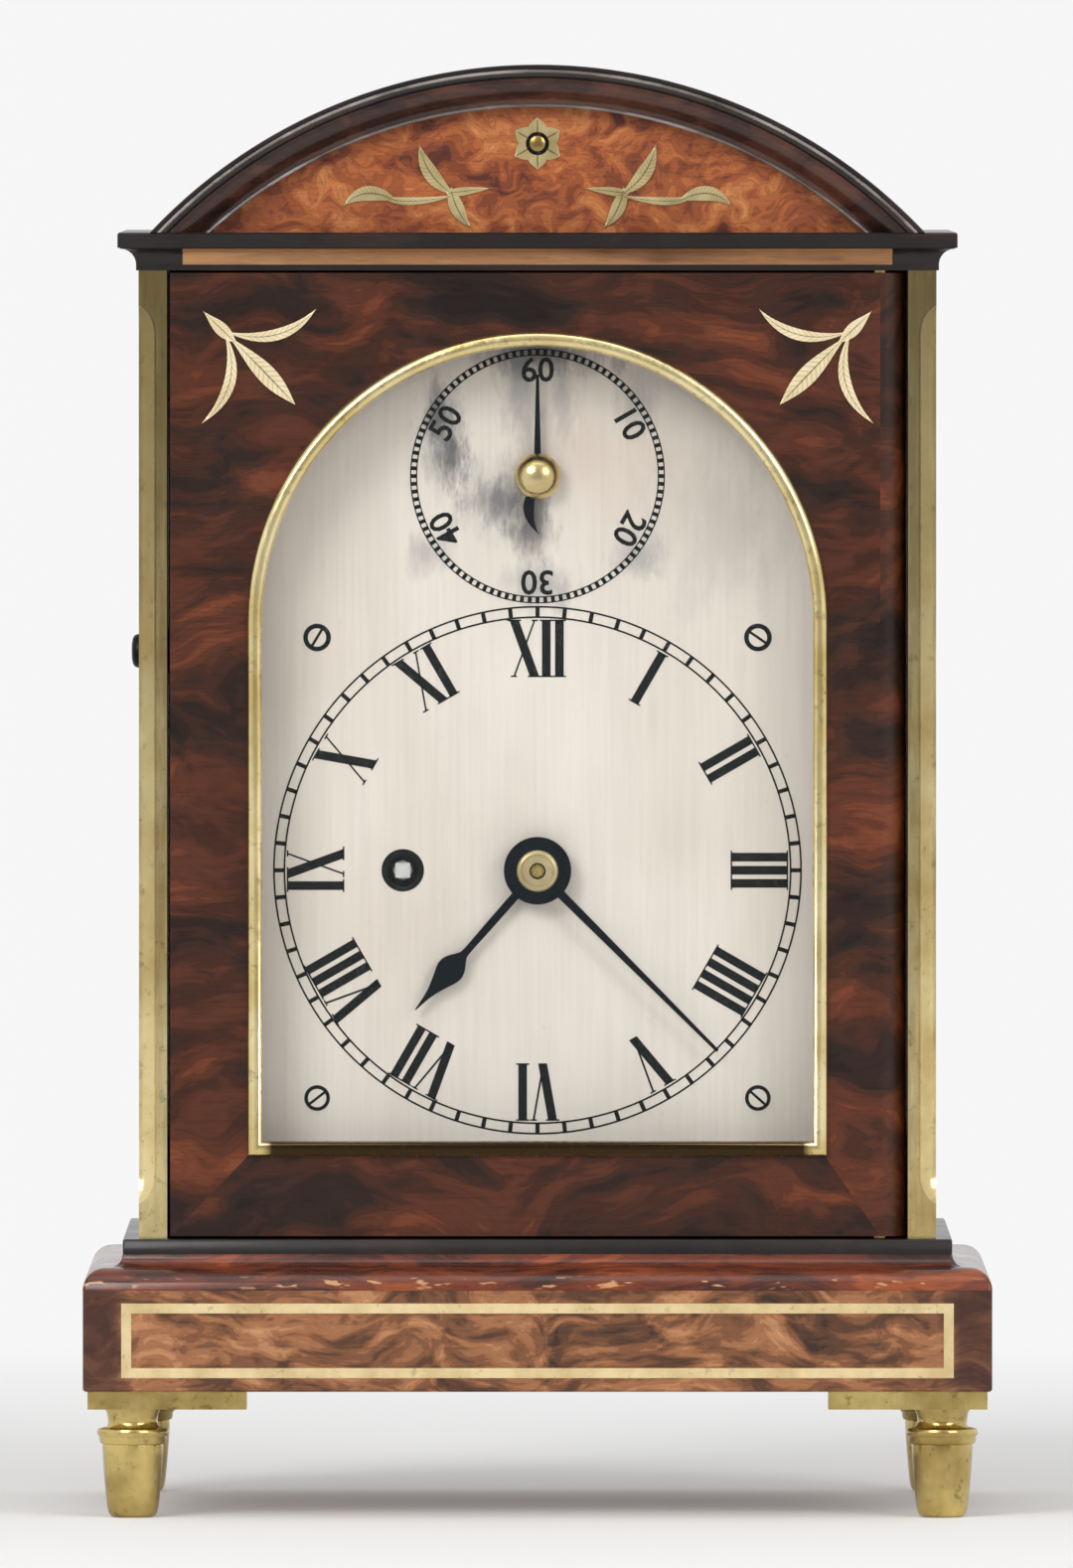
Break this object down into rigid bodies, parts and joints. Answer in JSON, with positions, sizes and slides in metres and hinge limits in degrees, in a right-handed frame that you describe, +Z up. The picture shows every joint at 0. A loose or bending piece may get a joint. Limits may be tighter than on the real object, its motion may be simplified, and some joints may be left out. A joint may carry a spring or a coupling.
{
  "type": "bracket clock",
  "caption": "Small arched bracket clock on turned feet, with glazed front and back doors, a silvered arched dial with rise-and-fall hand, and a fusee movement with a short pendulum.",
  "frame": {"origin": "on the surface that the clock stands on, under the middle of the base", "axes": "+X to the right seen from the front, +Y towards the back, +Z up; the dial faces -Y"},
  "size_m": [0.183, 0.128, 0.2924],
  "materials": {
    "rosewood": "dark figured veneer, polished",
    "light_rosewood": "orange-brown figured veneer, polished",
    "ebonized_wood": "near-black stained moulding, polished",
    "inner_wood": "plain, unpolished",
    "brass": "satin, lacquered",
    "silvered_brass": "matt silvering, brushed upright",
    "steel": "polished",
    "blued_steel": "heat-blued",
    "glass": "clear",
    "gut": "twisted gut"
  },
  "bodies": {
    "case": {"plinth": "rosewood", "plinth_stringing": "brass", "foot_front_left": "brass", "foot_front_right": "brass", "foot_back_left": "brass", "foot_back_right": "brass", "side_panel_left": "rosewood", "side_panel_right": "rosewood", "fret_left": "brass", "fret_right": "brass", "corner_strip_left": "brass", "corner_strip_right": "brass", "cornice": "ebonized_wood", "roof": "rosewood", "arch_moulding": "ebonized_wood", "tympanum_panel": "light_rosewood", "tympanum_rosette": "brass", "tympanum_spray_left": "brass", "tympanum_spray_right": "brass", "dial_plate": "silvered_brass", "dial_mask": "inner_wood", "front_plate": "brass", "back_plate": "brass", "seat_board": "inner_wood", "back_cock": "brass", "barrel_arbor": "steel", "gut_line": "gut"},
    "front_door": {"front_door_frame": "rosewood", "front_door_bezel": "brass", "front_door_glass": "glass", "front_door_lower_pin": "brass", "front_door_upper_pin": "brass", "corner_inlay_left": "brass", "corner_inlay_right": "brass"},
    "back_door": {"back_door_frame": "rosewood", "back_door_glass": "glass", "back_door_knob": "brass"},
    "catch": {"catch_button": "steel"},
    "minute": {"cannon_pinion": "steel", "minute_hand": "blued_steel", "hand_collar": "brass"},
    "motion": {"minute_wheel": "brass"},
    "hour": {"hour_wheel": "brass", "hour_hand": "blued_steel"},
    "regulation": {"regulation_arbor": "brass", "regulation_hand": "blued_steel", "regulation_knob": "brass"},
    "suspension": {"suspension_slide": "brass"},
    "pendulum": {"pendulum_rod": "steel", "pendulum_bob": "brass", "rating_nut": "brass"},
    "pallets": {"pallet_arbor": "steel"},
    "escape": {"escape_wheel": "brass"},
    "third": {"third_wheel": "brass"},
    "centre": {"centre_wheel": "brass"},
    "great": {"great_wheel": "brass"},
    "winding": {"fusee": "brass", "winding_arbor": "steel"},
    "barrel_drum": {"barrel": "brass"}
  },
  "joints": [
    {"name": "front_door_hinge", "type": "hinge", "parent": "case", "child": "front_door", "pos_m": [0.069, -0.0475, 0.1535], "axis": [0, 0, 1], "range_deg": [0, 90]},
    {"name": "back_door_hinge", "type": "hinge", "parent": "case", "child": "back_door", "pos_m": [-0.07, 0.048, 0.1535], "axis": [0, 0, 1], "range_deg": [0, 90]},
    {"name": "catch_push", "type": "slide", "parent": "case", "child": "catch", "axis": [1, 0, 0], "range_m": [0, 0.0018], "stiffness_N_per_m": 300},
    {"name": "minute_hand_turn", "type": "hinge", "parent": "case", "child": "minute", "pos_m": [0, -0.04, 0.1298], "axis": [0, 1, 0], "continuous": true},
    {"name": "minute_wheel_turn", "type": "hinge", "parent": "case", "child": "motion", "pos_m": [0.009, -0.0275, 0.11421], "axis": [0, 1, 0], "continuous": true},
    {"name": "hour_hand_turn", "type": "hinge", "parent": "case", "child": "hour", "pos_m": [0, -0.0295, 0.1298], "axis": [0, 1, 0], "continuous": true},
    {"name": "regulation_turn", "type": "hinge", "parent": "case", "child": "regulation", "pos_m": [0, -0.039, 0.20938], "axis": [0, 1, 0], "range_deg": [-151, 151]},
    {"name": "suspension_lift", "type": "slide", "parent": "case", "child": "suspension", "axis": [0, 0, 1], "range_m": [-0.0015, 0.0015]},
    {"name": "pendulum_swing", "type": "hinge", "parent": "suspension", "child": "pendulum", "pos_m": [0, 0.0268, 0.19918], "axis": [0, 1, 0], "range_deg": [-4.5, 4.5]},
    {"name": "pallet_rock", "type": "hinge", "parent": "case", "child": "pallets", "pos_m": [0, 0, 0.19918], "axis": [0, 1, 0], "range_deg": [-4.6, 4.6]},
    {"name": "escape_turn", "type": "hinge", "parent": "case", "child": "escape", "pos_m": [0, 0, 0.1808], "axis": [0, 1, 0], "continuous": true},
    {"name": "third_turn", "type": "hinge", "parent": "case", "child": "third", "pos_m": [0, 0, 0.1558], "axis": [0, 1, 0], "continuous": true},
    {"name": "centre_turn", "type": "hinge", "parent": "case", "child": "centre", "pos_m": [0, 0, 0.1298], "axis": [0, 1, 0], "continuous": true},
    {"name": "great_turn", "type": "hinge", "parent": "case", "child": "great", "pos_m": [-0.0272, 0.0114, 0.1298], "axis": [0, 1, 0], "continuous": true},
    {"name": "winding_turn", "type": "hinge", "parent": "great", "child": "winding", "pos_m": [-0.0272, 0, 0.1298], "axis": [0, 1, 0], "range_deg": [0, 1800]},
    {"name": "barrel_turn", "type": "hinge", "parent": "case", "child": "barrel_drum", "pos_m": [0.0272, 0, 0.1298], "axis": [0, 1, 0], "range_deg": [0, 1155]}
  ],
  "couplings": [
    {"joint": "minute_wheel_turn", "follows": "minute_hand_turn", "ratio": -1},
    {"joint": "hour_hand_turn", "follows": "minute_hand_turn", "ratio": 0.083333},
    {"joint": "regulation_turn", "follows": "suspension_lift", "rad_per_m": 1745.3},
    {"joint": "pallet_rock", "follows": "pendulum_swing", "ratio": 1},
    {"joint": "third_turn", "follows": "escape_turn", "ratio": -0.066667},
    {"joint": "centre_turn", "follows": "escape_turn", "ratio": 0.0055556},
    {"joint": "great_turn", "follows": "escape_turn", "ratio": -0.00046296},
    {"joint": "barrel_turn", "follows": "winding_turn", "ratio": 0.64}
  ]
}
